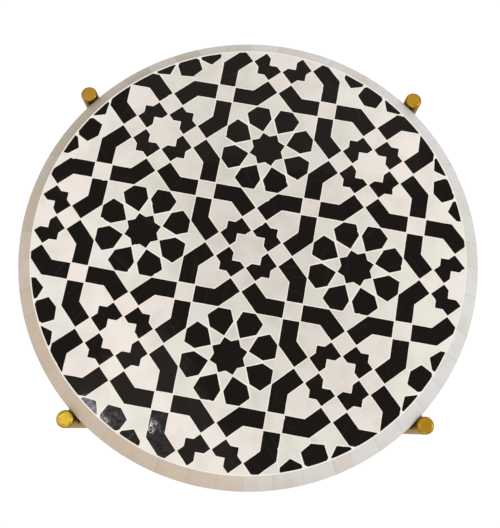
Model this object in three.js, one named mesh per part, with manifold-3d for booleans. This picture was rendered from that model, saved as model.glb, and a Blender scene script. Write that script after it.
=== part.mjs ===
// A round Moroccan stool. The wooden seat carries a flat field of white bone and
// black horn tiles in an eight-fold star pattern, edged with bevelled bone strips.
// Four brass tubes stand against the seat's edge, and a hoop under the seat and
// a ring near the floor join them.
// The origin is on the floor under the seat's centre, +Z is up and -Y is the front.
import * as THREE from 'three';
import { mergeVertices } from 'three/addons/utils/BufferGeometryUtils.js';
import loadManifold from 'manifold-3d';

const wasm = await loadManifold();
wasm.setup();

// Driving dimensions, in millimetres. Angles are in degrees.
// Seat
const STOOL_HEIGHT = 450;
const SEAT_RADIUS = 220;
const SEAT_THICKNESS = 32;
const BEVEL_WIDTH = 14;
const BEVEL_DROP = 11.2;
const STRIP_THICKNESS = 2.5;
const STRIP_JOINT = 0.6;
const TILE_THICKNESS = 2.5;
const RESIN_BED_THICKNESS = 1.2;
const BORDER_WIDTH = 1.2;
const STRIP_GROUPS = 10;
const STRIPS_PER_GROUP = 5;

// Inlay pattern: white stars stand at the lattice points, black stars between them
const PATTERN_PITCH = 144.4;
const PATTERN_TURN_DEG = 35.7;
const STRAP_WIDTH = 16.4;
const PETAL_WIDTH = 23;
const GROUT_WIDTH = 0.8;
const SMALLEST_TILE_SIDE = 5.5;
// Along the border the petals are laid further out than the lattice has them, but less
// far where turning them to the seat's centre leaves a wider space beside them
const BORDER_PETAL_SHIFT = 3.8;
const OPENED_PETAL_SHIFT = 1.8;

// Legs: tubes closed at the top, with a nylon glide in the open foot
const LEG_RADIUS = 8;
const LEG_WALL = 1.5;
const LEG_END_WALL = 3;
const LEG_EDGE_RADIUS = 2;
const LEG_TOP_DROP = 6.6;
const LEG_BEARING_DEG = 44.35;
const GLIDE_HEIGHT = 4;
const GLIDE_CHAMFER = 0.8;
const GLIDE_SPIGOT_LENGTH = 16;

// Hoop under the seat, and the ring near the floor
const HOOP_WIDTH = 24;
const HOOP_THICKNESS = 5;
const HOOP_INSET = 6;
const RING_HEIGHT = 110;
const RING_BAR_RADIUS = 5;
const RING_GUSSET_THICKNESS = 6;
const GUSSET_TIP_SETBACK = 1;
const GUSSET_TIP_WIDTH = 15;
const GUSSET_ROOT_WIDTH = 32;

// Countersunk wood screws through the hoop into the seat
const SCREW_COUNT = 8;
const SCREW_LENGTH = 20;
const SCREW_SHANK_RADIUS = 2;
const SCREW_HEAD_RADIUS = 4;
const SCREW_HEAD_HEIGHT = 2.2;
const SCREW_POINT_LENGTH = 4;

// The hairline left where two pieces are glued, brazed or pressed together,
// and how far a cutter runs past the face that it cuts
const CONTACT_GAP = 0.3;
const CUT_OVERRUN = 2;

// Facets round each turned shape
const SEAT_FACETS = 2 * STRIP_GROUPS * STRIPS_PER_GROUP;
const LEG_FACETS = 20;
const GLIDE_FACETS = 16;
const SCREW_FACETS = 10;
const RING_FACETS = 64;
const RING_BAR_FACETS = 8;
const EDGE_STEPS = 2;

// Heights and radii that follow from the driving dimensions
const SEAT_BOTTOM = STOOL_HEIGHT - SEAT_THICKNESS;
const TILE_BOTTOM = STOOL_HEIGHT - TILE_THICKNESS;
const BED_TOP = TILE_BOTTOM - CONTACT_GAP;
const BED_BOTTOM = BED_TOP - RESIN_BED_THICKNESS;
const CORE_TOP = BED_BOTTOM - CONTACT_GAP;
const BEVEL_TOP_RADIUS = SEAT_RADIUS - BEVEL_WIDTH;
const FIELD_RADIUS = BEVEL_TOP_RADIUS - CONTACT_GAP;
const TILE_CIRCLE_RADIUS = BEVEL_TOP_RADIUS - BORDER_WIDTH;
const BEVEL_SLOPE = BEVEL_DROP / BEVEL_WIDTH;
const BEVEL_DEPTH = STRIP_THICKNESS * Math.hypot(1, BEVEL_SLOPE);
const STRIP_INNER_RADIUS = SEAT_RADIUS - STRIP_THICKNESS;
const LEG_AXIS_RADIUS = SEAT_RADIUS + CONTACT_GAP + LEG_RADIUS;
const LEG_BORE_RADIUS = LEG_RADIUS - LEG_WALL;
const LEG_TOP = STOOL_HEIGHT - LEG_TOP_DROP;
const LEG_BOTTOM = GLIDE_HEIGHT + CONTACT_GAP;
const HOOP_TOP = SEAT_BOTTOM - CONTACT_GAP;
const HOOP_BOTTOM = HOOP_TOP - HOOP_THICKNESS;
const HOOP_OUTER_RADIUS = SEAT_RADIUS - HOOP_INSET;
const HOOP_INNER_RADIUS = HOOP_OUTER_RADIUS - HOOP_WIDTH;
const SCREW_CIRCLE_RADIUS = (HOOP_OUTER_RADIUS + HOOP_INNER_RADIUS) / 2;
const SCREW_TIP = HOOP_BOTTOM + SCREW_LENGTH;
const RING_RADIUS = LEG_AXIS_RADIUS - LEG_RADIUS - CONTACT_GAP - RING_BAR_RADIUS;

const EIGHTH_TURN = Math.PI / 4;
const ANGLE_ERROR = 0.001;
const radians = THREE.MathUtils.degToRad;
const point = (x, y) => new THREE.Vector2(x, y);

// Solids: a closed geometry becomes a body that can be joined and cut
function solidFrom(geometry) {
  geometry.deleteAttribute('normal');
  geometry.deleteAttribute('uv');
  const merged = mergeVertices(geometry);
  const index = merged.index.array;
  const triangles = [];
  for (let i = 0; i < index.length; i += 3) {
    const [a, b, c] = index.slice(i, i + 3);
    if (a !== b && b !== c && c !== a) triangles.push(a, b, c);
  }
  return new wasm.Manifold(new wasm.Mesh({
    numProp: 3,
    vertProperties: Float32Array.from(merged.attributes.position.array),
    triVerts: Uint32Array.from(triangles),
  }));
}

function geometryFrom(solid) {
  const mesh = solid.getMesh();
  const geometry = new THREE.BufferGeometry();
  geometry.setAttribute('position', new THREE.BufferAttribute(Float32Array.from(mesh.vertProperties), 3));
  geometry.setIndex(new THREE.BufferAttribute(Uint32Array.from(mesh.triVerts), 1));
  return geometry;
}

// A flat outline, drawn anticlockwise, raised from one height to another
function prism(outline, bottom, top) {
  const settings = { depth: top - bottom, bevelEnabled: false };
  const geometry = new THREE.ExtrudeGeometry(new THREE.Shape(outline), settings);
  return solidFrom(geometry.translate(0, 0, bottom));
}

// A profile of radius and height pairs, drawn anticlockwise, turned about Z
function turned(profile, facets) {
  const geometry = new THREE.LatheGeometry(profile.map(([r, z]) => point(r, z)), facets);
  return solidFrom(geometry.rotateX(Math.PI / 2));
}

function turnedRing(profile, facets) {
  return turned([...profile, profile[0]], facets);
}

function disc(radius, bottom, top, facets = SEAT_FACETS) {
  return turned([[0, bottom], [radius, bottom], [radius, top], [0, top]], facets);
}

function joined(solids) {
  return solids.reduce((whole, solid) => whole.add(solid));
}

function moved(outline, angle, x = 0, y = 0) {
  const origin = point(0, 0);
  return outline.map((p) => p.clone().rotateAround(origin, angle).add(point(x, y)));
}

function mirrored(outline) {
  return outline.map((p) => point(p.y, p.x)).reverse();
}

// Moves every side of an anticlockwise outline inwards by the same distance
function inset(outline, distance) {
  return outline.map((corner, i) => {
    const before = outline.at(i - 1);
    const after = outline[(i + 1) % outline.length];
    const into = corner.clone().sub(before).normalize();
    const outOf = after.clone().sub(corner).normalize();
    const bend = 1 + into.dot(outOf);
    const inwards = point(-into.y - outOf.y, into.x + outOf.x);
    return corner.clone().addScaledVector(inwards, distance / bend);
  });
}

// Inlay pattern: straps of equal width run round every star. Their middle line keeps
// this distance from the lattice lines, so that they close into regular octagons.
const STRAP_OFFSET = (PATTERN_PITCH * (2 - Math.SQRT2)) / 4;
const STRAP_NEAR = STRAP_OFFSET - STRAP_WIDTH / 2;
const STRAP_FAR = STRAP_OFFSET + STRAP_WIDTH / 2;
const HALF_PITCH = PATTERN_PITCH / 2;
const STAR_NOTCH = STRAP_NEAR * Math.tan(EIGHTH_TURN / 2);
const DIAMOND_HALF = STRAP_WIDTH / Math.SQRT2;
const OCTAGON_REACH = (HALF_PITCH - STRAP_FAR) / Math.cos(EIGHTH_TURN / 2);

// An eight-pointed star whose first point lies at the given angle
function starOutline(angle) {
  const outline = [];
  for (let k = 0; k < 8; k += 1) {
    outline.push(point(STRAP_NEAR * Math.SQRT2, 0).rotateAround(point(0, 0), k * EIGHTH_TURN));
    outline.push(point(STRAP_NEAR, STAR_NOTCH).rotateAround(point(0, 0), k * EIGHTH_TURN));
  }
  return moved(outline, angle);
}

// The black tile between a white star and the white tile beyond it, on the +X side
function bowTieOutline() {
  return [
    point(STRAP_FAR, -STRAP_NEAR),
    point(STRAP_FAR, -STAR_NOTCH),
    point(STRAP_FAR + STAR_NOTCH, 0),
    point(STRAP_FAR, STAR_NOTCH),
    point(STRAP_FAR, STRAP_NEAR),
    point(STRAP_NEAR, STRAP_NEAR),
    point(STRAP_NEAR, STAR_NOTCH),
    point(STRAP_NEAR + STAR_NOTCH, 0),
    point(STRAP_NEAR, -STAR_NOTCH),
    point(STRAP_NEAR, -STRAP_NEAR),
  ];
}

// The bent black strap tile that follows two sides of an octagon
function elbowOutline() {
  return [
    point(STRAP_NEAR, STRAP_FAR),
    point(STRAP_FAR, STRAP_FAR),
    point(STRAP_FAR, HALF_PITCH + DIAMOND_HALF - STRAP_FAR),
    point(DIAMOND_HALF, HALF_PITCH),
    point(0, HALF_PITCH - DIAMOND_HALF),
    point(STRAP_NEAR, HALF_PITCH - DIAMOND_HALF - STRAP_NEAR),
  ];
}

// The six-sided black petal, pointing from a black star to its octagon's corner
function petalOutline() {
  const tilt = EIGHTH_TURN / 2;
  const half = PETAL_WIDTH / 2;
  const apothem = HALF_PITCH - STRAP_FAR;
  const tip = STRAP_NEAR * Math.SQRT2;
  const shoulder = (apothem - half * Math.sin(tilt)) / Math.cos(tilt);
  return [
    point(tip, 0),
    point(tip + half, -half),
    point(shoulder, -half),
    point(OCTAGON_REACH, 0),
    point(shoulder, half),
    point(tip + half, half),
  ];
}

const PATTERN_TURN = radians(PATTERN_TURN_DEG);
function latticePoint(i, j) {
  return point(i, j).multiplyScalar(PATTERN_PITCH).rotateAround(point(0, 0), PATTERN_TURN);
}
const BLACK_STAR_CELLS = [[0.5, 0.5], [-0.5, 0.5], [-0.5, -0.5], [0.5, -0.5]];
const WHITE_STAR_CELLS = [[0, 0], [1, 0], [0, 1], [-1, 0], [0, -1]];

// A star at a place of the lattice, in the seat's own frame
function placedStar([i, j], angle) {
  const place = latticePoint(i, j);
  return moved(starOutline(angle), PATTERN_TURN, place.x, place.y);
}

// The eight petals of one black star. Where the star would lie beyond the border, they
// are laid from the innermost corner of its octagon instead: the middle one points from
// there straight at the seat's centre.
function petalsRound(star) {
  const turns = [0, 1, 2, 3, 4, 5, 6, 7].map((k) => k * EIGHTH_TURN);
  const angle = PATTERN_TURN + EIGHTH_TURN / 2;
  if (star.length() < TILE_CIRCLE_RADIUS) {
    return turns.map((turn) => moved(petalOutline(), angle + turn, star.x, star.y));
  }
  const corners = turns.map((turn) => moved([point(OCTAGON_REACH, 0)], angle + turn, star.x, star.y)[0]);
  const innermost = corners.reduce((a, b) => (a.length() < b.length() ? a : b));
  const offset = innermost.angle() - angle;
  const lean = offset - EIGHTH_TURN * Math.round(offset / EIGHTH_TURN);
  return turns.map((turn) => {
    const inOpenedSpace = Math.sin(turn) * lean < -ANGLE_ERROR;
    const shift = inOpenedSpace ? OPENED_PETAL_SHIFT : BORDER_PETAL_SHIFT;
    const place = innermost.clone().setLength(innermost.length() + OCTAGON_REACH + shift);
    return moved(petalOutline(), innermost.angle() + turn, place.x, place.y);
  });
}

// Every black tile but the four whole stars, as outlines that meet without grout
function blackOutlines() {
  const reach = Math.ceil(TILE_CIRCLE_RADIUS / PATTERN_PITCH) + 1;
  const outlines = [];
  for (let i = -reach; i <= reach; i += 1) {
    for (let j = -reach; j <= reach; j += 1) {
      const white = latticePoint(i, j);
      for (let quarter = 0; quarter < 4; quarter += 1) {
        const angle = PATTERN_TURN + quarter * 2 * EIGHTH_TURN;
        for (const outline of [bowTieOutline(), elbowOutline(), mirrored(elbowOutline())]) {
          outlines.push(moved(outline, angle, white.x, white.y));
        }
      }
      outlines.push(...petalsRound(latticePoint(i + 0.5, j + 0.5)));
      if (!BLACK_STAR_CELLS.some(([u, v]) => u === i + 0.5 && v === j + 0.5)) {
        outlines.push(placedStar([i + 0.5, j + 0.5], EIGHTH_TURN / 2));
      }
    }
  }
  return outlines;
}

const tileCircle = disc(TILE_CIRCLE_RADIUS, BED_BOTTOM, STOOL_HEIGHT + CUT_OVERRUN);
const pocketCircle = disc(TILE_CIRCLE_RADIUS + CONTACT_GAP, BED_BOTTOM, STOOL_HEIGHT + CUT_OVERRUN);

// A tile is an outline less half a grout line, cut to the circle of tiles
function tileSolid(outline, bottom) {
  return prism(inset(outline, GROUT_WIDTH / 2), bottom, STOOL_HEIGHT).intersect(tileCircle);
}

// Its pocket is a hairline wider and goes right through the bone
function pocketSolid(outline) {
  const opened = inset(outline, GROUT_WIDTH / 2 - CONTACT_GAP);
  return prism(opened, TILE_BOTTOM - CUT_OVERRUN, STOOL_HEIGHT + CUT_OVERRUN).intersect(pocketCircle);
}

// A black tile that the circle leaves too small to cut and lay is left out
function keptOutlines() {
  const smallestVolume = SMALLEST_TILE_SIDE * SMALLEST_TILE_SIDE * TILE_THICKNESS;
  return blackOutlines().filter((outline) => {
    const nearest = Math.min(...outline.map((p) => p.length()));
    return nearest < TILE_CIRCLE_RADIUS && tileSolid(outline, TILE_BOTTOM).volume() > smallestVolume;
  });
}

const blackTiles = keptOutlines();

// Seat pieces
function hornTiles() {
  const bed = disc(FIELD_RADIUS, BED_BOTTOM, BED_TOP);
  const raised = blackTiles.map((outline) => tileSolid(outline, (BED_BOTTOM + BED_TOP) / 2));
  return joined([bed, ...raised]);
}

function boneField() {
  const whiteStars = WHITE_STAR_CELLS.map((cell) => placedStar(cell, 0));
  const blackStars = BLACK_STAR_CELLS.map((cell) => placedStar(cell, EIGHTH_TURN / 2));
  const pockets = [...blackTiles, ...whiteStars, ...blackStars].map(pocketSolid);
  const plate = disc(FIELD_RADIUS, TILE_BOTTOM, STOOL_HEIGHT);
  return pockets.reduce((field, pocket) => field.subtract(pocket), plate);
}

const bevelUnderside = (radius) => STOOL_HEIGHT - BEVEL_DEPTH - BEVEL_SLOPE * (radius - BEVEL_TOP_RADIUS);
const SIDE_STRIP_TOP = STOOL_HEIGHT - BEVEL_DROP - CONTACT_GAP;

function rimStripRing() {
  return turnedRing([
    [BEVEL_TOP_RADIUS, bevelUnderside(BEVEL_TOP_RADIUS)],
    [STRIP_INNER_RADIUS, bevelUnderside(STRIP_INNER_RADIUS)],
    [SEAT_RADIUS, STOOL_HEIGHT - BEVEL_DROP],
    [BEVEL_TOP_RADIUS, STOOL_HEIGHT],
  ], SEAT_FACETS);
}

function sideStripRing() {
  return turnedRing([
    [STRIP_INNER_RADIUS, SEAT_BOTTOM],
    [SEAT_RADIUS, SEAT_BOTTOM],
    [SEAT_RADIUS, SIDE_STRIP_TOP],
    [STRIP_INNER_RADIUS, bevelUnderside(STRIP_INNER_RADIUS) - CONTACT_GAP],
  ], SEAT_FACETS);
}

// One group of strips: the part of a ring between two thin radial joints
const GROUP_ANGLE = (2 * Math.PI) / STRIP_GROUPS;
const FIRST_JOINT_ANGLE = GROUP_ANGLE / (2 * STRIPS_PER_GROUP);
function jointPlate(angle) {
  const reach = SEAT_RADIUS + CUT_OVERRUN;
  const outline = [
    point(0, -STRIP_JOINT / 2),
    point(reach, -STRIP_JOINT / 2),
    point(reach, STRIP_JOINT / 2),
    point(0, STRIP_JOINT / 2),
  ];
  return prism(moved(outline, angle), SEAT_BOTTOM - CUT_OVERRUN, STOOL_HEIGHT + CUT_OVERRUN);
}

function stripGroup(ring, group) {
  const start = FIRST_JOINT_ANGLE + group * GROUP_ANGLE;
  const reach = SEAT_RADIUS / Math.cos(GROUP_ANGLE / 2) + CUT_OVERRUN;
  const wedge = prism(
    moved([point(0, 0), point(reach, 0), moved([point(reach, 0)], GROUP_ANGLE)[0]], start),
    SEAT_BOTTOM - CUT_OVERRUN,
    STOOL_HEIGHT + CUT_OVERRUN,
  );
  return ring.intersect(wedge).subtract(jointPlate(start)).subtract(jointPlate(start + GROUP_ANGLE));
}

// Screws: the same profile, widened by the clearance, drills the hoop and the seat
const SCREW_ANGLES = Array.from({ length: SCREW_COUNT }, (_, k) => ((k + 0.5) * 2 * Math.PI) / SCREW_COUNT);

function screwSolid() {
  return turned([
    [0, HOOP_BOTTOM],
    [SCREW_HEAD_RADIUS, HOOP_BOTTOM],
    [SCREW_SHANK_RADIUS, HOOP_BOTTOM + SCREW_HEAD_HEIGHT],
    [SCREW_SHANK_RADIUS, SCREW_TIP - SCREW_POINT_LENGTH],
    [0, SCREW_TIP],
  ], SCREW_FACETS);
}

function screwHoles() {
  const hole = turned([
    [0, HOOP_BOTTOM - CUT_OVERRUN],
    [SCREW_HEAD_RADIUS + CONTACT_GAP, HOOP_BOTTOM - CUT_OVERRUN],
    [SCREW_HEAD_RADIUS + CONTACT_GAP, HOOP_BOTTOM],
    [SCREW_SHANK_RADIUS + CONTACT_GAP, HOOP_BOTTOM + SCREW_HEAD_HEIGHT],
    [SCREW_SHANK_RADIUS + CONTACT_GAP, SCREW_TIP + CONTACT_GAP],
    [0, SCREW_TIP + CONTACT_GAP],
  ], SCREW_FACETS);
  return joined(SCREW_ANGLES.map((angle) => hole.translate(
    SCREW_CIRCLE_RADIUS * Math.cos(angle),
    SCREW_CIRCLE_RADIUS * Math.sin(angle),
    0,
  )));
}

function seatCore() {
  const sideRadius = STRIP_INNER_RADIUS - CONTACT_GAP;
  const bevelRise = bevelUnderside(BEVEL_TOP_RADIUS) - CONTACT_GAP - CORE_TOP;
  const bevelStart = BEVEL_TOP_RADIUS + bevelRise / BEVEL_SLOPE;
  return turned([
    [0, SEAT_BOTTOM],
    [sideRadius, SEAT_BOTTOM],
    [sideRadius, bevelUnderside(sideRadius) - CONTACT_GAP],
    [bevelStart, CORE_TOP],
    [0, CORE_TOP],
  ], SEAT_FACETS).subtract(screwHoles());
}

// Legs stand at the corners of a rectangle that is a little wider than deep
const LEG_BEARING = radians(LEG_BEARING_DEG);
const LEGS = [
  { name: 'back_right', angle: LEG_BEARING },
  { name: 'back_left', angle: Math.PI - LEG_BEARING },
  { name: 'front_left', angle: Math.PI + LEG_BEARING },
  { name: 'front_right', angle: -LEG_BEARING },
];
const legPlace = ({ angle }) => point(LEG_AXIS_RADIUS, 0).rotateAround(point(0, 0), angle);

function legSolid() {
  const edge = [];
  for (let step = 0; step <= EDGE_STEPS; step += 1) {
    const angle = (step / EDGE_STEPS) * (Math.PI / 2);
    edge.push([
      LEG_RADIUS - LEG_EDGE_RADIUS * (1 - Math.cos(angle)),
      LEG_TOP - LEG_EDGE_RADIUS * (1 - Math.sin(angle)),
    ]);
  }
  return turned([
    [0, LEG_TOP - LEG_END_WALL],
    [LEG_BORE_RADIUS, LEG_TOP - LEG_END_WALL],
    [LEG_BORE_RADIUS, LEG_BOTTOM],
    [LEG_RADIUS, LEG_BOTTOM],
    ...edge,
    [0, LEG_TOP],
  ], LEG_FACETS);
}

function glideSolid() {
  const spigotRadius = LEG_BORE_RADIUS - CONTACT_GAP;
  return turned([
    [0, 0],
    [LEG_RADIUS - GLIDE_CHAMFER, 0],
    [LEG_RADIUS, GLIDE_CHAMFER],
    [LEG_RADIUS, GLIDE_HEIGHT],
    [spigotRadius, GLIDE_HEIGHT],
    [spigotRadius, GLIDE_HEIGHT + GLIDE_SPIGOT_LENGTH],
    [0, GLIDE_HEIGHT + GLIDE_SPIGOT_LENGTH],
  ], GLIDE_FACETS);
}

// A gusset widens a ring towards each leg, and is hollowed to the tube's roundness
function gussets(rootRadius, bottom, top) {
  const tipRadius = LEG_AXIS_RADIUS - GUSSET_TIP_SETBACK;
  const outline = [
    point(rootRadius, -GUSSET_ROOT_WIDTH / 2),
    point(tipRadius, -GUSSET_TIP_WIDTH / 2),
    point(tipRadius, GUSSET_TIP_WIDTH / 2),
    point(rootRadius, GUSSET_ROOT_WIDTH / 2),
  ];
  return joined(LEGS.map(({ angle }) => prism(moved(outline, angle), bottom, top)));
}

function legHollows(bottom, top) {
  const hollow = disc(LEG_RADIUS + CONTACT_GAP, bottom - CUT_OVERRUN, top + CUT_OVERRUN, LEG_FACETS);
  return joined(LEGS.map((leg) => hollow.translate(legPlace(leg).x, legPlace(leg).y, 0)));
}

function hoopSolid() {
  const band = turnedRing([
    [HOOP_INNER_RADIUS, HOOP_BOTTOM],
    [HOOP_OUTER_RADIUS, HOOP_BOTTOM],
    [HOOP_OUTER_RADIUS, HOOP_TOP],
    [HOOP_INNER_RADIUS, HOOP_TOP],
  ], RING_FACETS);
  return band
    .add(gussets(SCREW_CIRCLE_RADIUS, HOOP_BOTTOM, HOOP_TOP))
    .subtract(legHollows(HOOP_BOTTOM, HOOP_TOP))
    .subtract(screwHoles());
}

function lowerRingSolid() {
  const bottom = RING_HEIGHT - RING_GUSSET_THICKNESS / 2;
  const top = RING_HEIGHT + RING_GUSSET_THICKNESS / 2;
  const bar = new THREE.TorusGeometry(RING_RADIUS, RING_BAR_RADIUS, RING_BAR_FACETS, RING_FACETS);
  return solidFrom(bar.translate(0, 0, RING_HEIGHT))
    .add(gussets(RING_RADIUS, bottom, top))
    .subtract(legHollows(bottom, top));
}

// Finishes
const finish = (color, roughness, metalness) => ({ color, roughness, metalness, flatShading: true });
const WOOD = finish(0xb58a5c, 0.7, 0);
const HORN = finish(0x1b1814, 0.25, 0);
const BONE = finish(0xdedad0, 0.35, 0);
const RIM_BONE = finish(0xcfc6b6, 0.4, 0);
const BRASS = finish(0xb88a2c, 0.35, 1);
const NYLON = finish(0x2a2a2a, 0.6, 0);
const STEEL = finish(0x9a9a98, 0.4, 1);

const stool = new THREE.Group();
function addPiece(name, solid, look, x = 0, y = 0) {
  const mesh = new THREE.Mesh(geometryFrom(solid), new THREE.MeshStandardMaterial(look));
  mesh.name = name;
  mesh.position.set(x, y, 0);
  stool.add(mesh);
}

addPiece('seat_core', seatCore(), WOOD);
addPiece('horn_tiles', hornTiles(), HORN);
addPiece('bone_field', boneField(), BONE);
WHITE_STAR_CELLS.forEach((cell, i) => {
  addPiece(`white_star_${i + 1}`, tileSolid(placedStar(cell, 0), TILE_BOTTOM), BONE);
});
BLACK_STAR_CELLS.forEach((cell, i) => {
  addPiece(`black_star_${i + 1}`, tileSolid(placedStar(cell, EIGHTH_TURN / 2), TILE_BOTTOM), HORN);
});
const rimRing = rimStripRing();
const sideRing = sideStripRing();
for (let group = 0; group < STRIP_GROUPS; group += 1) {
  addPiece(`rim_strips_${group + 1}`, stripGroup(rimRing, group), RIM_BONE);
  addPiece(`side_strips_${group + 1}`, stripGroup(sideRing, group), RIM_BONE);
}
addPiece('seat_hoop', hoopSolid(), BRASS);
addPiece('lower_ring', lowerRingSolid(), BRASS);
for (const leg of LEGS) {
  const { x, y } = legPlace(leg);
  addPiece(`leg_${leg.name}`, legSolid(), BRASS, x, y);
  addPiece(`foot_glide_${leg.name}`, glideSolid(), NYLON, x, y);
}
SCREW_ANGLES.forEach((angle, i) => {
  const x = SCREW_CIRCLE_RADIUS * Math.cos(angle);
  const y = SCREW_CIRCLE_RADIUS * Math.sin(angle);
  addPiece(`seat_screw_${i + 1}`, screwSolid(), STEEL, x, y);
});

export default stool;
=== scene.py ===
# %% [markdown]
# # A round stool with a bone and horn inlay
# The stool is a low round seat on four thin brass legs. Its top is an inlay: white bone
# and black horn, sawn into stars, bars and petals, laid in resin and polished flat.
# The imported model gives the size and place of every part, so the lesson starts by
# loading it. Each later step makes one kind of piece around that frame.

# %% Load the measured frame
import math
import random

import bmesh
import bpy
from mathutils import Matrix, Vector, noise


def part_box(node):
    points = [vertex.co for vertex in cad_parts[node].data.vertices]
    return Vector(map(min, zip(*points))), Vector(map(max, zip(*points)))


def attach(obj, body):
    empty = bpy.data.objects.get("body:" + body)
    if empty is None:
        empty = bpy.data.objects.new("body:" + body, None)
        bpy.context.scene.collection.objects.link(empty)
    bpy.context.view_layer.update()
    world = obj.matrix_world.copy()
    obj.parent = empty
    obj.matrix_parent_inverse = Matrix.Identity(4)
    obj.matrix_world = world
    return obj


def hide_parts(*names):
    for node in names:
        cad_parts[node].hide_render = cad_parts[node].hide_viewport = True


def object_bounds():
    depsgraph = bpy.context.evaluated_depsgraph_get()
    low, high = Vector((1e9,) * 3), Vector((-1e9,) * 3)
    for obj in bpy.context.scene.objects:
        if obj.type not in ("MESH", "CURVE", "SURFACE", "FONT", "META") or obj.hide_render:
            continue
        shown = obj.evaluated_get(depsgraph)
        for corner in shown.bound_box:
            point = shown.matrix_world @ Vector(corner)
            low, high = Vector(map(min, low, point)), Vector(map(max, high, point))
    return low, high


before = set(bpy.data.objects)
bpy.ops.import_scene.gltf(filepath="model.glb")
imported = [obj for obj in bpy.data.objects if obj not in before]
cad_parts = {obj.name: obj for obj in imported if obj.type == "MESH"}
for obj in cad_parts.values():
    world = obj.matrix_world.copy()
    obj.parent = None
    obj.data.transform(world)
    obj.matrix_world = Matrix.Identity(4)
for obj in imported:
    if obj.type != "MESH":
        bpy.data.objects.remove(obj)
cad_low, cad_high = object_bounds()
MM = 0.001
HAIR = 0.01 * MM
SEAT_TOP = cad_high.z
SEAT_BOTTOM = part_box("seat_core")[0].z
LEG_NAMES = ("back_right", "back_left", "front_left", "front_right")
print(f"frame: {len(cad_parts)} nodes, {SEAT_TOP / MM:.0f} mm high")

# %% [markdown]
# ## Camera
# The photograph looks down on the seat from a little in front of it. A camera could be
# placed by eye, but the regular inlay lets it be worked out: the place, tilt and lens
# below put every star of the lattice on its place in the photograph.

# %% Camera
def in_scene(name, data):
    """A new object of some data, put in the scene."""
    made = bpy.data.objects.new(name, data)
    bpy.context.scene.collection.objects.link(made)
    return made


CAMERA_PLACE = (0, -0.1652, 1.1013)
CAMERA_TILT_DEG = (13.03, -0.38, 1.02)
LENS_MM = 48.52
SENSOR_MM = 36
CLIP_START = 0.01

camera_data = bpy.data.cameras.new("photo_camera")
camera_data.lens = LENS_MM
camera_data.sensor_width = SENSOR_MM
camera_data.clip_start = CLIP_START
camera = in_scene("photo_camera", camera_data)
camera.location = CAMERA_PLACE
camera.rotation_euler = [math.radians(angle) for angle in CAMERA_TILT_DEG]
bpy.context.scene.camera = camera
print("camera at", CAMERA_PLACE)

# %% [markdown]
# ## Shader maths as plain sums
# A finish mixes noises and masks. Wiring each sum by hand hides what it does, so a
# small class stands for a socket: adding or multiplying two of them adds a Math node.
# One method makes every other node, from its type, its settings and what feeds it.


# %% Sockets
class Wire:
    """An output socket. Sums with wires or numbers add Math nodes to its finish."""

    def __init__(self, finish, socket):
        self.finish = finish
        self.socket = socket

    def __add__(self, other):
        return self.finish.maths("ADD", self, other)

    def __sub__(self, other):
        return self.finish.maths("SUBTRACT", self, other)

    def __rsub__(self, other):
        return self.finish.maths("SUBTRACT", other, self)

    def __mul__(self, other):
        return self.finish.maths("MULTIPLY", self, other)

    __radd__ = __add__
    __rmul__ = __mul__

    def above(self, start, end):
        """0 where this wire is at start, 1 where it is at end, and smooth between."""
        return self.finish.node(
            "ShaderNodeMapRange",
            {"interpolation_type": "SMOOTHSTEP"},
            {"Value": self, "From Min": start, "From Max": end},
        )


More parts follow.
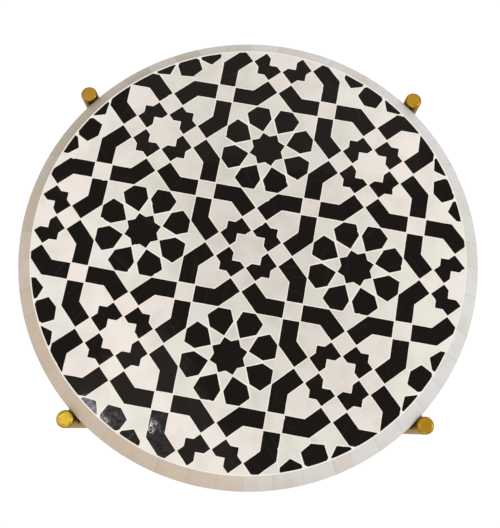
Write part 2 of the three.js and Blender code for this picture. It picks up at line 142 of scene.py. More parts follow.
# %% Finishes
class Finish:
    """A node tree under construction, for a material or for the world."""

    def __init__(self, owner):
        owner.use_nodes = True
        self.owner = owner
        self.tree = owner.node_tree
        self.tree.nodes.clear()

    def node(self, kind, settings, feeds, output=0):
        made = self.tree.nodes.new(kind)
        for name, value in settings.items():
            if name == "stops":
                self.set_stops(made.color_ramp, value)
            else:
                setattr(made, name, value)
        for name, value in feeds.items():
            if isinstance(value, Wire):
                self.tree.links.new(value.socket, made.inputs[name])
            else:
                made.inputs[name].default_value = value
        return Wire(self, made.outputs[output] if made.outputs else None)

    def set_stops(self, ramp, stops):
        while len(ramp.elements) < len(stops):
            ramp.elements.new(1)
        for element, (place, colour) in zip(ramp.elements, stops):
            element.position = place
            element.color = colour

    def here(self):
        """The piece's own coordinates, in metres."""
        return self.node("ShaderNodeTexCoord", {}, {}, output="Object")

    def place(self, scale=(1, 1, 1)):
        """The piece's own coordinates, stretched by a scale on each axis."""
        return self.node("ShaderNodeMapping", {}, {"Vector": self.here(), "Scale": scale})

    def along_axis(self, axis):
        return self.node("ShaderNodeSeparateXYZ", {}, {0: self.here()}, output=axis)

    def maths(self, operation, *numbers):
        return self.node("ShaderNodeMath", {"operation": operation}, dict(enumerate(numbers)))

    def vector_maths(self, operation, *places, output="Vector"):
        feeds = dict(enumerate(places))
        return self.node("ShaderNodeVectorMath", {"operation": operation}, feeds, output)

    def moved(self, place, shift):
        return self.vector_maths("ADD", place, shift)

    def length(self, place):
        return self.vector_maths("LENGTH", place, output="Value")

    def from_axis(self):
        """The distance from the stool's upright axis."""
        return self.length(self.place((1, 1, 0)))

    def from_leg(self, leg_place):
        """The distance from the nearest leg's axis. The legs stand alike in all four quarters."""
        quarter = self.vector_maths("ABSOLUTE", self.place((1, 1, 0)))
        return self.vector_maths("DISTANCE", quarter, (*leg_place, 0), output="Value")

    def mark(self, name):
        """A number that the mesh carries on each of its faces."""
        return self.node("ShaderNodeAttribute", {"attribute_name": name}, {}, output="Fac")

    def along_grain(self, place, scale):
        """Turns a place to the tile's own grain and stretches it by a scale on each axis."""
        feeds = {"Vector": place, "Angle": self.mark("grain") * math.pi}
        turned_place = self.node("ShaderNodeVectorRotate", {"rotation_type": "Z_AXIS"}, feeds)
        return self.node("ShaderNodeMapping", {}, {"Vector": turned_place, "Scale": scale})

    def cloud(self, per_metre=1.0, detail=2.0, place=None):
        """Soft noise over the piece, or over a place that was moved or stretched."""
        feeds = {"Vector": place or self.place(), "Scale": per_metre, "Detail": detail}
        return self.node("ShaderNodeTexNoise", {}, feeds)

    def blend(self, share, first, second):
        feeds = {0: share, 6: first, 7: second}
        return self.node("ShaderNodeMix", {"data_type": "RGBA"}, feeds, output=2)

    def bump(self, height, depth):
        feeds = {"Height": height, "Distance": depth, "Strength": 1.0}
        return self.node("ShaderNodeBump", {}, feeds)

    def seen_directly(self):
        """1 for a ray from the camera, a mirror or glass, and 0 for the light on the stool."""
        camera, mirror, glass = (
            self.node("ShaderNodeLightPath", {}, {}, output=f"Is {kind} Ray")
            for kind in ("Camera", "Glossy", "Transmission")
        )
        return camera + mirror + glass

    def surface(self, feeds):
        """Ends a material with its shader and gives it back."""
        shader = self.node("ShaderNodeBsdfPrincipled", {}, feeds)
        self.node("ShaderNodeOutputMaterial", {}, {"Surface": shader})
        print(f"{self.owner.name}: {len(self.tree.nodes)} shader nodes")
        return self.owner


# %% Colours
def paint(red, green, blue):
    """A colour as a screen shows it, 0 to 255, turned into the light it reflects."""
    linear = []
    for value in (red, green, blue):
        share = value / 255
        linear.append(share / 12.92 if share < 0.04045 else ((share + 0.055) / 1.055) ** 2.4)
    return (*linear, 1)


def new_finish(name):
    return Finish(bpy.data.materials.new(name))


# %% [markdown]
# ## Light and floor
# The photograph has soft daylight from the right and a warmer, weaker light from the left, on white.
# A plain world lights all sides alike, and a large cool lamp and a warm one give the rim its two
# tones, together with painted light and shade on the rim's strips. The others are there to be
# mirrored: two wide dim ones lift the black tiles at the back and front left, as haze does, a panel
# and three bulbs leave glints at the front left, and one shows in the rounded edges of the legs. The
# floor is a wide disc, nearly white. It keeps the stool's shadow, and its own light is seen but
# lights nothing.

# %% World, lamps and floor
WORLD_LIGHT = 0.6
SEAT_MIDDLE = Vector((0, 0, SEAT_TOP))

# Each lamp's name, place and side in metres, power in watts, and colour.
LAMPS = (
    ("cool_window", (2.55, -0.3, 1.9), 1.2, 24, (0.92, 0.97, 1.0)),
    ("warm_room", (-1.7, -0.25, 1.8), 1.0, 4.3, (1.0, 0.92, 0.80)),
    ("far_haze", (0.15, 1.5, 2.45), 1.3, 4.8, (1.0, 0.93, 0.85)),
    ("near_haze", (-0.42, -0.25, 2.45), 0.7, 2.1, (1.0, 0.90, 0.82)),
    ("mirrored_panel", (-0.572, -0.13, 2.45), 0.10, 0.8, (0.97, 0.91, 1.0)),
    ("mirrored_bulb", (-0.349, -0.161, 2.45), 0.015, 0.2, (1.0, 0.97, 0.94)),
    ("corner_bulb", (-0.516, -0.151, 2.45), 0.015, 0.35, (1.0, 0.97, 0.94)),
    ("small_bulb", (-0.409, -0.197, 2.45), 0.01, 0.014, (1.0, 0.97, 0.94)),
    ("front_lamp", (0.07, -1.56, 1.4), 0.15, 2.8, (1.0, 0.97, 0.92)),
)


def hang_lamp(name, place, size, watts, colour):
    lamp_data = bpy.data.lights.new(name, "AREA")
    lamp_data.size = size
    lamp_data.energy = watts
    lamp_data.color = colour
    lamp = in_scene(name, lamp_data)
    lamp.location = place
    aim = SEAT_MIDDLE - Vector(place)
    lamp.rotation_euler = aim.to_track_quat("-Z", "Y").to_euler()


world = bpy.data.worlds.new("even_daylight")
bpy.context.scene.world = world
sky = Finish(world)
strength = WORLD_LIGHT + sky.seen_directly() * (1 - WORLD_LIGHT)
daylight = sky.node("ShaderNodeBackground", {}, {"Color": (1, 1, 1, 1), "Strength": strength})
sky.node("ShaderNodeOutputWorld", {}, {"Surface": daylight})
for lamp in LAMPS:
    hang_lamp(*lamp)
print("lamps:", ", ".join(lamp[0] for lamp in LAMPS))

# %% The floor
FLOOR_RADIUS = 8
FLOOR_FACETS = 64
FLOOR_GLOW = 0.75
FLOOR_STRENGTH = 1.12
FLOOR_WHITE = paint(250, 250, 249)


def as_mesh(name, shape):
    """Turns a bmesh into a mesh and frees it."""
    mesh = bpy.data.meshes.new(name)
    shape.to_mesh(mesh)
    shape.free()
    return mesh


def floor_finish():
    finish = new_finish("pale_floor")
    matt = finish.node("ShaderNodeBsdfDiffuse", {}, {"Color": FLOOR_WHITE})
    glow = finish.node("ShaderNodeEmission", {}, {"Color": (1, 1, 1, 1), "Strength": FLOOR_STRENGTH})
    share = finish.seen_directly() * FLOOR_GLOW
    mixed = finish.node("ShaderNodeMixShader", {}, {0: share, 1: matt, 2: glow})
    finish.node("ShaderNodeOutputMaterial", {}, {"Surface": mixed})
    return finish.owner


floor_shape = bmesh.new()
bmesh.ops.create_circle(floor_shape, cap_ends=True, radius=FLOOR_RADIUS, segments=FLOOR_FACETS)
floor_mesh = as_mesh("floor", floor_shape)
floor_mesh.materials.append(floor_finish())
floor = in_scene("floor", floor_mesh)
bpy.context.scene.view_settings.view_transform = "Standard"
print("floor:", FLOOR_RADIUS, "m")

# %% [markdown]
# ## From a mesh to a piece of the stool
# Every piece ends the same way: its normals are made to point out, its round faces are shaded smooth
# while its corners stay crisp, it gets its finish, and it rides on the stool's one body. The nodes
# of the frame it stands for are hidden. Level faces are shaded flat: smooth shading would bend their
# light towards the small bevels around them, and a polished tile would mirror as if it were a
# pillow.

# %% Finishing a piece
CRISP_ANGLE = math.radians(32)
LEAST_CORNER = math.radians(25)
LEVEL = 0.9999


def add_piece(name, shape, material, slot, *nodes):
    bmesh.ops.recalc_face_normals(shape, faces=shape.faces)
    mesh = as_mesh(name, shape)
    mesh.set_sharp_from_angle(angle=CRISP_ANGLE)
    for face in mesh.polygons:
        face.use_smooth = abs(face.normal.z) < LEVEL
    mesh.materials.append(material)
    piece = in_scene(name, mesh)
    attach(piece, "root")
    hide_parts(*nodes)
    print(f"{name}: {len(mesh.vertices)} points")


def everything(shape):
    return shape.verts[:] + shape.edges[:] + shape.faces[:]


def flat_plate(outline, height):
    """One flat face at a height."""
    plate = bmesh.new()
    plate.faces.new([plate.verts.new((x, y, height)) for x, y in outline])
    plate.normal_update()
    return plate


def risen(shape, height):
    """Pulls a flat shape up into a solid and returns the points on its top."""
    pulled = bmesh.ops.extrude_face_region(shape, geom=shape.faces[:])["geom"]
    top = [part for part in pulled if isinstance(part, bmesh.types.BMVert)]
    bmesh.ops.translate(shape, verts=top, vec=(0, 0, height))
    return top


def soften(shape, geometry, width, affect="EDGES", segments=2):
    bmesh.ops.bevel(
        shape, geom=geometry, offset=width, affect=affect, segments=segments,
        profile=0.5, material=-1, clamp_overlap=True,
    )


def corners_of(shape):
    """The edges where two faces meet at a clear angle."""
    shape.normal_update()
    return [edge for edge in shape.edges if edge.calc_face_angle(0) > LEAST_CORNER]


def mark_faces(shape, **numbers):
    """Writes the same numbers on every face, for the finish to read."""
    for name, number in numbers.items():
        layer = shape.faces.layers.float.new(name)
        for face in shape.faces:
            face[layer] = number


def put_in(tray, part):
    """Moves all faces of one bmesh into another."""
    scratch = as_mesh("scratch", part)
    tray.from_mesh(scratch)
    bpy.data.meshes.remove(scratch)


# %% [markdown]
# ## The pattern
# White stars stand on a square lattice and black stars between them. Straps of one
# width run round every star at the same distance, and they cut the field into the other
# tiles. So each outline could be traced, but it is shorter and truer to work it out from
# the pitch and the strap's width. The outlines are drawn round one star and are turned.

# %% Sizes of the pattern
PITCH = 144.4 * MM
PATTERN_TURN = math.radians(35.7)
STRAP_WIDTH = 16.4 * MM
PETAL_HALF_WIDTH = 11.5 * MM
GROUT_WIDTH = 0.8 * MM
TILE_CIRCLE = 204.8 * MM
BORDER_PETAL_SHIFT = 3.8 * MM
OPENED_PETAL_SHIFT = 1.8 * MM

ANGLE_ERROR = 0.001

EIGHTH = math.pi / 4
STRAP_OFFSET = PITCH * (2 - math.sqrt(2)) / 4
NEAR = STRAP_OFFSET - STRAP_WIDTH / 2
FAR = STRAP_OFFSET + STRAP_WIDTH / 2
HALF = PITCH / 2
NOTCH = NEAR * math.tan(EIGHTH / 2)
STAR_TIP = NEAR * math.sqrt(2)
DIAMOND = STRAP_WIDTH / math.sqrt(2)
APOTHEM = HALF - FAR
OCTAGON_REACH = APOTHEM / math.cos(EIGHTH / 2)
print(f"the straps' middles run {STRAP_OFFSET / MM:.1f} mm from the stars")


def turned(outline, angle, shift=(0, 0)):
    spin = Matrix.Rotation(angle, 2)
    return [spin @ Vector(corner) + Vector(shift) for corner in outline]


def mirrored(outline):
    return [(y, x) for x, y in reversed(outline)]


def inset(outline, distance):
    """Moves every side of an anticlockwise outline inwards by the same distance."""
    moved = []
    for i, corner in enumerate(outline):
        into = (corner - outline[i - 1]).normalized()
        out_of = (outline[(i + 1) % len(outline)] - corner).normalized()
        inwards = Vector((-into.y - out_of.y, into.x + out_of.x))
        moved.append(corner + inwards * (distance / (1 + into.dot(out_of))))
    return moved


# %% Outlines of the tiles
def star():
    outline = []
    for k in range(8):
        outline += turned([(STAR_TIP, 0), (NEAR, NOTCH)], k * EIGHTH)
    return outline


def bow_tie():
    side = [(FAR, -NEAR), (FAR, -NOTCH), (FAR + NOTCH, 0), (FAR, NOTCH), (FAR, NEAR)]
    back = [(NEAR, NEAR), (NEAR, NOTCH), (NEAR + NOTCH, 0), (NEAR, -NOTCH), (NEAR, -NEAR)]
    return side + back


def elbow():
    bend = HALF + DIAMOND - FAR
    inner_bend = HALF - DIAMOND - NEAR
    outer = [(NEAR, FAR), (FAR, FAR), (FAR, bend), (DIAMOND, HALF)]
    return outer + [(0, HALF - DIAMOND), (NEAR, inner_bend)]


def petal():
    tilt = EIGHTH / 2
    half = PETAL_HALF_WIDTH
    shoulder = (APOTHEM - half * math.sin(tilt)) / math.cos(tilt)
    lower = [(STAR_TIP, 0), (STAR_TIP + half, -half), (shoulder, -half)]
    return lower + [(OCTAGON_REACH, 0), (shoulder, half), (STAR_TIP + half, half)]


def square():
    return [(NEAR, NEAR), (FAR, NEAR), (FAR, FAR), (NEAR, FAR)]


def diamond():
    return [(HALF + DIAMOND, 0), (HALF, DIAMOND), (HALF - DIAMOND, 0), (HALF, -DIAMOND)]


def shield():
    side = HALF - DIAMOND - NEAR
    foot = [(-NEAR, FAR), (-NOTCH, FAR), (0, FAR + NOTCH), (NOTCH, FAR), (NEAR, FAR)]
    return foot + [(NEAR, side), (0, HALF - DIAMOND), (-NEAR, side)]


def octagon_side():
    """Corners along one side of a black star's octagon, which faces +X, and the star's notch."""
    half_side = APOTHEM * math.tan(EIGHTH / 2)
    notch = NEAR / math.cos(EIGHTH / 2)
    return [(HALF - DIAMOND, 0), (APOTHEM, half_side), (notch, 0), (APOTHEM, -half_side)]


def white_between(before, after, side):
    """The arrow and the kite that fill the space between two petals."""
    corner, head, notch, low_head = side
    waist = (after[1] + before[5]) / 2
    arrow = [corner, head, after[3], after[2], waist, before[4], before[3], low_head]
    arrow = [point for i, point in enumerate(arrow) if (point - arrow[i - 1]).length > HAIR]
    return arrow, [waist, after[0], notch, before[0]]


print("a star has", len(star()), "corners and a bow-tie", len(bow_tie()))

# %% [markdown]
# Each kind of tile is now laid out over the whole lattice, as far as the seat reaches.
# The five whole white stars and the four whole black ones are pieces of their own. Where
# a black star would lie beyond the border, its petals were laid from the innermost
# corner of its octagon: they are turned until one faces the middle of the seat, and lie
# further out than the lattice has them. The turn opens a space on one side, and the
# petal there was laid nearer to that corner.

# %% Laying the outlines out
WHITE_STAR_CELLS = ((0, 0), (1, 0), (0, 1), (-1, 0), (0, -1))
BLACK_STAR_CELLS = ((0.5, 0.5), (-0.5, 0.5), (-0.5, -0.5), (0.5, -0.5))


ROUND_A_WHITE_STAR = (
    ("horn_bow_ties", bow_tie()),
    ("horn_elbows", elbow()),
    ("horn_elbows", mirrored(elbow())),
    ("bone_squares", square()),
    ("bone_shields", shield()),
)


def lattice_point(i, j):
    return turned([(i * PITCH, j * PITCH)], PATTERN_TURN)[0]


def laid(outline, k, centre):
    return turned(outline, PATTERN_TURN + k * EIGHTH, centre)


def petals_round(star_place):
    turn = PATTERN_TURN + EIGHTH / 2
    spokes = [turn + k * EIGHTH for k in range(8)]
    if star_place.length < TILE_CIRCLE:
        return [turned(petal(), spoke, star_place) for spoke in spokes]
    corners = [turned([(OCTAGON_REACH, 0)], spoke, star_place)[0] for spoke in spokes]
    innermost = min(corners, key=lambda corner: corner.length)
    bearing = math.atan2(innermost.y, innermost.x)
    to_bearing = math.remainder(bearing - turn, EIGHTH)
    petals = []
    for spoke in spokes:
        spoke += to_bearing
        in_opened_space = math.sin(spoke - bearing) * to_bearing < -ANGLE_ERROR
        shift = OPENED_PETAL_SHIFT if in_opened_space else BORDER_PETAL_SHIFT
        place = innermost + innermost.normalized() * (OCTAGON_REACH + shift)
        petals.append(turned(petal(), spoke, place))
    return petals


def lay_out():
    kinds = {
        "horn_bow_ties": [], "horn_elbows": [], "horn_petals": [],
        "bone_border_stars": [], "bone_squares": [], "bone_diamonds": [],
        "bone_shields": [], "bone_arrows": [], "bone_kites": [],
    }
    reach = math.ceil(TILE_CIRCLE / PITCH) + 1
    cells = [(i, j) for i in range(-reach, reach + 1) for j in range(-reach, reach + 1)]
    for i, j in cells:
        white = lattice_point(i, j)
        for k in (0, 2, 4, 6):
            for kind, outline in ROUND_A_WHITE_STAR:
                kinds[kind].append(laid(outline, k, white))
        for k in (0, 2):
            kinds["bone_diamonds"].append(laid(diamond(), k, white))
        if (i, j) not in WHITE_STAR_CELLS:
            kinds["bone_border_stars"].append(laid(star(), 0, white))
        black = lattice_point(i + 0.5, j + 0.5)
        petals = petals_round(black)
        kinds["horn_petals"] += petals
        for k in range(8):
            side = laid(octagon_side(), k, black)
            arrow, kite = white_between(petals[k - 1], petals[k], side)
            kinds["bone_arrows"].append(arrow)
            kinds["bone_kites"].append(kite)
    return kinds


tile_kinds = lay_out()
print("outlines:", {kind: len(outlines) for kind, outlines in tile_kinds.items()})

# %% [markdown]
# ## Cutting a tile
# A tile could be cut out of a solid plate with a boolean, but there are hundreds. It is
# quicker to draw it flat as one face, file it to the tile circle with a few straight
# cuts, round its corners, nibble its sides as a hand saw does, and only then raise it.
# Every tile carries its own number, so that the finish can tint each one differently.

# %% Sizes of a tile
TILE_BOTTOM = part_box("white_star_1")[0].z
SMALLEST_SIDE = {"horn": 5.5 * MM, "bone": 4.5 * MM}
FILE_STEP = math.radians(1.5)
LEAST_BEND = 0.3
TILE_CORNER = 0.45 * MM
BORDER_CORNER = 0.8 * MM
SAW_STEP = 2.2 * MM
SAW_WAVE = 0.14 * MM
SAW_WAVES_PER_METRE = 160
SAW_SEED = 11
CHIP_SHARE = 0.012
CHIP_DEPTH = 0.7 * MM
TILE_EDGE = 0.12 * MM
LEVEL_SPREAD = 0.05 * MM
LAY_SPREAD = 0.12 * MM
LAY_TURN = math.radians(0.35)
# Painted reflection: how much mottled grey goes on the horn tile at each bearing, near the border.
REFLECTION_TILES_DEG = {227: 0.62, 233: 0.12, 246: 0.06}
REFLECTION_SPREAD_DEG = 3
REFLECTION_RADIUS = 180 * MM
PLAIN_TINTS = (0.0, 0.6)

# Blender's noise takes its seed from the clock, unless it is given one.
noise.seed_set(SAW_SEED)
print(f"tiles are {(SEAT_TOP - TILE_BOTTOM) / MM:.1f} mm thick")


# %% Laying and filing a tile
def laid_by_hand(outline, hand):
    """A tile never lies quite in its place: it is moved and turned by a hair."""
    middle = sum(outline, Vector((0, 0))) / len(outline)
    turn = hand.uniform(-LAY_TURN, LAY_TURN)
    shift = Vector((hand.uniform(-LAY_SPREAD, LAY_SPREAD), hand.uniform(-LAY_SPREAD, LAY_SPREAD)))
    return turned([corner - middle for corner in outline], turn, middle + shift)


def file_to_circle(tile):
    """Cuts a flat tile along short tangents of the tile circle."""
    if max(vert.co.xy.length for vert in tile.verts) <= TILE_CIRCLE:
        return
    middle = sum((vert.co.xy for vert in tile.verts), Vector((0, 0)))
    bearing = math.atan2(middle.y, middle.x)
    spread = max(abs(middle.angle_signed(vert.co.xy)) for vert in tile.verts)
    steps = math.ceil(spread / FILE_STEP)
    for step in range(-steps, steps + 1):
        angle = bearing + step * FILE_STEP
        out = Vector((math.cos(angle), math.sin(angle), 0))
        place = out * TILE_CIRCLE + Vector((0, 0, TILE_BOTTOM))
        bmesh.ops.bisect_plane(
            tile, geom=everything(tile), plane_co=place, plane_no=out, clear_outer=True
        )
        if not tile.faces:
            return


# %% Rounding and sawing a tile
def bend_at(vert):
    """How far the outline turns at a corner, in radians."""
    first, second = (edge.other_vert(vert).co - vert.co for edge in vert.link_edges)
    return math.pi - first.angle(second)


def round_corners(tile):
    """Rounds each corner a little, and more where the tile meets the circle."""
    whole = [vert for vert in tile.verts if len(vert.link_edges) == 2]
    corners = [vert for vert in whole if bend_at(vert) > LEAST_BEND]
    at_border = [v for v in corners if v.co.xy.length > TILE_CIRCLE - 2 * TILE_CORNER]
    inside = [vert for vert in corners if vert not in at_border]
    for verts, radius in ((inside, TILE_CORNER), (at_border, BORDER_CORNER)):
        if verts:
            soften(tile, verts, radius, affect="VERTICES", segments=3)


def saw_sides(tile, hand):
    """Gives straight sides the slight waves and chips of hand sawing."""
    for edge in tile.edges[:]:
        cuts = int(edge.calc_length() / SAW_STEP)
        if cuts:
            bmesh.ops.bisect_edges(tile, edges=[edge], cuts=cuts)
    middle = sum((vert.co for vert in tile.verts), Vector()) / len(tile.verts)
    for vert in tile.verts:
        wave = noise.noise_vector(vert.co * SAW_WAVES_PER_METRE) * SAW_WAVE
        if hand.random() < CHIP_SHARE:
            wave = wave + (middle - vert.co).normalized() * CHIP_DEPTH * hand.random()
        vert.co.x += wave.x
        vert.co.y += wave.y


def painted_reflection(middle):
    """How much painted reflection, a mottled grey, a tile at the front left near the border gets."""
    bearing = math.degrees(math.atan2(middle.y, middle.x)) % 360
    for tile_bearing, pale in REFLECTION_TILES_DEG.items():
        if abs(bearing - tile_bearing) < REFLECTION_SPREAD_DEG and middle.length > REFLECTION_RADIUS:
            return pale
    return 0


# %% Cutting a tray of tiles
def cut_tile(outline, smallest_side, hand, tints):
    """One finished tile, or nothing where too little of it lies inside the circle."""
    if min(corner.length for corner in outline) > TILE_CIRCLE:
        return None
    outline = laid_by_hand(inset(outline, GROUT_WIDTH / 2), hand)
    tile = flat_plate(outline, TILE_BOTTOM)
    file_to_circle(tile)
    if sum(face.calc_area() for face in tile.faces) < smallest_side**2:
        tile.free()
        return None
    round_corners(tile)
    saw_sides(tile, hand)
    level = SEAT_TOP - hand.random() * LEVEL_SPREAD
    top = set(risen(tile, level - TILE_BOTTOM))
    rim = [edge for edge in tile.edges if edge.verts[0] in top and edge.verts[1] in top]
    soften(tile, rim, TILE_EDGE)
    pale = painted_reflection(sum(outline, Vector((0, 0))) / len(outline))
    mark_faces(tile, tint=hand.uniform(*tints), grain=hand.random(), pale=pale)
    return tile


def cut_tiles(outlines, smallest_side, seed, tints=PLAIN_TINTS):
    """All tiles of one kind, together in one mesh."""
    hand = random.Random(seed)
    tray = bmesh.new()
    count = 0
    for outline in outlines:
        tile = cut_tile(outline, smallest_side, hand, tints)
        if tile:
            put_in(tray, tile)
            count += 1
    print("cut", count, "tiles")
    return tray


# %% [markdown]
# ## Horn
# The black tiles are polished horn: nearly black, faintly brown, with a soft gloss. A plain dark
# colour would look like paint, so soft streaks run along each tile in its own direction, and slow
# waves in the polish break up whatever is mirrored in it. Three tiles at the front left are painted
# with a mottled grey: a painted reflection of bright light in their polish.

# %% Horn finish
HORN_BLACK = paint(16, 11, 6)
HORN_STREAK = paint(40, 31, 25)
HORN_REFLECTION_GREY = paint(152, 144, 156)
HORN_STREAKS_PER_METRE = (25, 260, 40)


def horn_finish():
    finish = new_finish("polished_horn")
    along = finish.along_grain(finish.place(), HORN_STREAKS_PER_METRE)
    streaks = finish.cloud(detail=4.0, place=finish.moved(along, finish.mark("tint") * 50))
    colour = finish.blend(streaks.above(0.52, 0.80) * 0.6, HORN_BLACK, HORN_STREAK)
    # A mottled grey on a few tiles: painted reflection.
    reflection_mottle = finish.cloud(330, detail=3.0).above(0.42, 0.62) * 0.85 + 0.15
    waves = finish.cloud(60)
    return finish.surface({
        "Base Color": finish.blend(reflection_mottle * finish.mark("pale"), colour, HORN_REFLECTION_GREY),
        "Roughness": 0.05 + waves.above(0.45, 0.75) * 0.04,
        "Specular IOR Level": 0.08,
        "Normal": finish.bump(waves + streaks * 0.1, 0.12 * MM),
    })


horn = horn_finish()

# %% [markdown]
# ## Bone
# The white tiles are bleached bone: a warm white, but no two alike. Some lean to pink or cream, some
# to green or blue grey. The tile's own number picks the tint from a ramp, a soft cloud shades it,
# and fine lines run along the grain of the bone. The arrows and kites round the black stars come
# from the greener half of the ramp. In a band across the seat all tiles are a little duller: painted
# shade, for the weaker light on the middle of the seat.

# %% Bone finish
BONE_TINTS = (
    (0.0, paint(246, 236, 231)),
    (0.25, paint(245, 237, 228)),
    (0.5, paint(246, 236, 229)),
    (0.62, paint(240, 238, 227)),
    (0.8, paint(238, 236, 224)),
    (1.0, paint(239, 236, 233)),
)
BONE_SHADE = paint(205, 198, 189)
BONE_LINES_PER_METRE = (60, 900, 60)
# A band across the seat gets painted shade: its place, turn and stretch, and the reaches where the
# painted shade is full and where it ends.
SHADE_BAND_PLACE = (10 * MM, 30 * MM, 0)
SHADE_BAND_TURN = (0, 0, math.radians(15))
SHADE_BAND_STRETCH = (1, 2, 1)
FULL_SHADE_REACH = 40 * MM
NO_SHADE_REACH = 178 * MM


def bone_finish():
    finish = new_finish("polished_bone")
    tint = finish.mark("tint")
    colour = finish.node("ShaderNodeValToRGB", {"stops": BONE_TINTS}, {"Fac": tint})
    shifted_place = finish.moved(finish.place(), tint * 7)
    cloud = finish.cloud(42, place=shifted_place)
    lines = finish.cloud(detail=3.0, place=finish.along_grain(shifted_place, BONE_LINES_PER_METRE))
    band = finish.node(
        "ShaderNodeMapping",
        {"vector_type": "TEXTURE"},
        {
            "Vector": finish.place((1, 1, 0)),
            "Location": SHADE_BAND_PLACE,
            "Rotation": SHADE_BAND_TURN,
            "Scale": SHADE_BAND_STRETCH,
        },
    )
    # Painted shade in the band darkens the tiles towards BONE_SHADE.
    band_shade = finish.length(band).above(NO_SHADE_REACH, FULL_SHADE_REACH)
    shade = cloud.above(0.40, 0.72) * 0.3 + lines.above(0.55, 0.80) * 0.14 + band_shade * 0.55
    waves = finish.cloud(80, detail=0.0)
    return finish.surface({
        "Base Color": finish.blend(shade, colour, BONE_SHADE),
        "Roughness": 0.28 + cloud * 0.12,
        "Specular IOR Level": 0.35,
        "Normal": finish.bump(waves + lines * 0.05, 0.4 * MM),
    })


bone = bone_finish()

# %% [markdown]
# ## The inlay
# The tiles are cut kind by kind, so that each kind is a piece that can be looked at by
# itself. The nine whole stars each stand for a node of the frame.

# %% Cut and lay all tiles
TINTS = {"bone_arrows": (0.5, 1.0), "bone_kites": (0.5, 1.0), "bone_shields": (0.0, 0.8)}
STANDS_FOR = {"horn_elbows": ["horn_tiles"], "bone_shields": ["bone_field"]}
FINISHES = {"horn": horn, "bone": bone}
WHITE_STAR_SEED = 100
BLACK_STAR_SEED = 200


def lay_stars(stuff, colour, cells, turn, first_seed):
    for i, cell in enumerate(cells):
        tile = cut_tiles([laid(star(), turn, lattice_point(*cell))], 0, first_seed + i)
        add_piece(f"{stuff}_star_{i + 1}", tile, FINISHES[stuff], stuff, f"{colour}_star_{i + 1}")


for seed, (kind, outlines) in enumerate(tile_kinds.items()):
    stuff = kind.split("_")[0]
    tray = cut_tiles(outlines, SMALLEST_SIDE[stuff], seed, TINTS.get(kind, PLAIN_TINTS))
    add_piece(kind, tray, FINISHES[stuff], stuff, *STANDS_FOR.get(kind, []))
lay_stars("bone", "white", WHITE_STAR_CELLS, 0, WHITE_STAR_SEED)
lay_stars("horn", "black", BLACK_STAR_CELLS, 0.5, BLACK_STAR_SEED)

# %% [markdown]
# ## Turned shapes
# Anything round is spun on its axis from a half section. One helper takes the section
# as radius and height pairs, spins it and closes the poles. It serves the resin shell,
# the legs, their glides, the rings and the screws.


# %% Spinning a section
MERGE_WITHIN = 0.002 * MM


def section_at(shape, section, angle=0.0):
    """Draws a section upright through the Z axis, as one face at the given bearing."""
    ring = [
        shape.verts.new((radius * math.cos(angle), radius * math.sin(angle), height))
        for radius, height in section
    ]
    shape.faces.new(ring)
    shape.normal_update()


def full_turn(section, steps):
    """A closed solid of revolution. The section is a loop, or starts and ends on the axis."""
    shape = bmesh.new()
    points = [shape.verts.new((radius, 0, height)) for radius, height in section]
    on_axis = section[0][0] == 0 and section[-1][0] == 0
    pairs = zip(points, points[1:] if on_axis else points[1:] + points[:1])
    edges = [shape.edges.new(pair) for pair in pairs]
    bmesh.ops.spin(
        shape, geom=points + edges, cent=(0, 0, 0), axis=(0, 0, 1), angle=2 * math.pi,
        steps=steps, use_merge=True, use_duplicate=False,
    )
    bmesh.ops.remove_doubles(shape, verts=shape.verts, dist=MERGE_WITHIN)
    bmesh.ops.recalc_face_normals(shape, faces=shape.faces)
    return shape


def shifted(shape, x, y):
    bmesh.ops.translate(shape, verts=shape.verts, vec=(x, y, 0))
    return shape


def rounded(radius, height, size, start_deg, end_deg, steps=5):
    """Points of a small arc of a section, round a centre at radius and height."""
    points = []
    for step in range(steps + 1):
        angle = math.radians(start_deg + (end_deg - start_deg) * step / steps)
        points.append((radius + size * math.cos(angle), height + size * math.sin(angle)))
    return points


# %% [markdown]
# ## The rim
# Short strips of bone run round the seat: one row lies on the bevel, one stands on the side. They
# aren't all of one length, for they were cut by hand, and each has its own tone. Light and shade are
# also painted on by bearing: a warm painted light at the front left, a cool one at the right, and an
# olive painted shade at the back left.

# %% Sizes of the rim
STRIP_GROUPS = 10
RIM_NODES = [f"rim_strips_{i + 1}" for i in range(STRIP_GROUPS)]
SIDE_NODES = [f"side_strips_{i + 1}" for i in range(STRIP_GROUPS)]
SEAT_RADIUS = max(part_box(node)[1].x for node in RIM_NODES) - HAIR
BEVEL_WIDTH = 14 * MM
BEVEL_DROP = 11.2 * MM
STRIP_THICKNESS = 2.5 * MM
STRIP_JOINT = 0.16 * MM
STRIP_COUNT = 50
STRIP_STEPS = 6
STRIP_EDGE = 0.12 * MM
JOINT_SPREAD_DEG = 0.5
DRIFT_DEG = 2.3
DRIFT_START_DEG = 298
DRIFT_END_DEG = 345

BEVEL_SLOPE = BEVEL_DROP / BEVEL_WIDTH
BEVEL_TOP_RADIUS = SEAT_RADIUS - BEVEL_WIDTH
BEVEL_DEPTH = STRIP_THICKNESS * math.hypot(1, BEVEL_SLOPE)
STRIP_INNER = SEAT_RADIUS - STRIP_THICKNESS


def bevel_height(radius):
    return SEAT_TOP - BEVEL_SLOPE * (radius - BEVEL_TOP_RADIUS)


print(f"the bevel slopes by {math.degrees(math.atan(BEVEL_SLOPE)):.0f} degrees")


# %% Cutting the strips
def strip_joints(seed):
    """Bearings of the joints: even ones, moved by a hand's error and by one long drift."""
    hand = random.Random(seed)
    joints = []
    for i in range(STRIP_COUNT):
        degrees = (i + 0.5) * 360 / STRIP_COUNT
        drift = DRIFT_DEG if DRIFT_START_DEG < degrees < DRIFT_END_DEG else 0
        degrees += hand.uniform(-JOINT_SPREAD_DEG, JOINT_SPREAD_DEG) - drift
        joints.append(math.radians(degrees))
    return joints + [joints[0] + 2 * math.pi]


